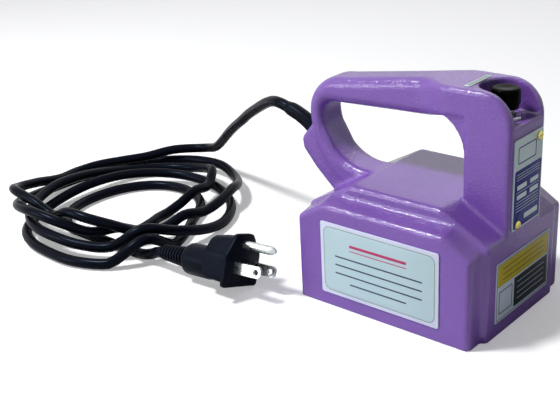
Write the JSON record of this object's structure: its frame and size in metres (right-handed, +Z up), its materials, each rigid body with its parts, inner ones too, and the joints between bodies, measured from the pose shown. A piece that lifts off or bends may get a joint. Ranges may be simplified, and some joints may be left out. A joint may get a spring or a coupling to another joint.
{
  "type": "handheld demagnetizer",
  "caption": "Handheld electromagnetic demagnetizer: painted cast housing with a loop handle, a push button in the head, a flat working face and a coiled mains cord with a plug.",
  "frame": {"origin": "Centre of the flat working face, on the plane that the tool stands on, midway along and across the block.", "axes": "+X along the block towards the switch end, +Y across to the far long side, +Z up from the working face to the handle."},
  "size_m": [0.3406, 0.1645, 0.1178],
  "materials": {
    "paint": "glossy purple enamel over cast aluminium, slight orange peel",
    "plate": "satin aluminium plate",
    "steel": "plated steel",
    "iron": "stacked core sheets, ground flat on the working face",
    "insulation": "moulded nylon",
    "winding": "enamelled copper wire",
    "brass": "plain brass",
    "leads": "insulated wire",
    "switch_plastic": "moulded phenolic",
    "button": "glossy black",
    "label": "printed film with colour fields",
    "cord": "black cord jacket with a soft sheen",
    "plug": "moulded black plug",
    "pin_metal": "nickel-plated pins"
  },
  "bodies": {
    "tool": {"housing": "paint", "base_plate": "plate", "base_screws": "steel", "core": "iron", "clamp_bar": "plate", "core_bolts": "steel", "bobbin_front": "insulation", "bobbin_rear": "insulation", "winding_front": "winding", "winding_rear": "winding", "terminal_block": "insulation", "terminal_screws": "brass", "earth_ring": "brass", "earth_screw": "brass", "cord_saddle": "insulation", "saddle_screws": "steel", "inner_cord": "cord", "mains_leads": "leads", "coil_leads": "leads", "switch_leads": "leads", "switch_body": "switch_plastic", "lock_washer": "steel", "switch_nut": "steel", "return_spring": "steel", "data_plate": "plate", "drive_screws": "brass", "side_plate": "plate", "end_label": "label", "top_strip": "plate", "strain_sleeve": "cord", "cord_run": "cord", "cord_coil": "cord", "cord_tail": "cord", "plug_body": "plug", "plug_blades": "pin_metal", "ground_pin": "pin_metal"},
    "button": {"button_cap": "button", "plunger": "insulation"}
  },
  "joints": [
    {"name": "button_press", "type": "slide", "parent": "tool", "child": "button", "axis": [0, 0, -1], "range_m": [0, 0.003], "stiffness_N_per_m": 400, "springref_m": -0.002, "deforming": ["return_spring"]}
  ]
}
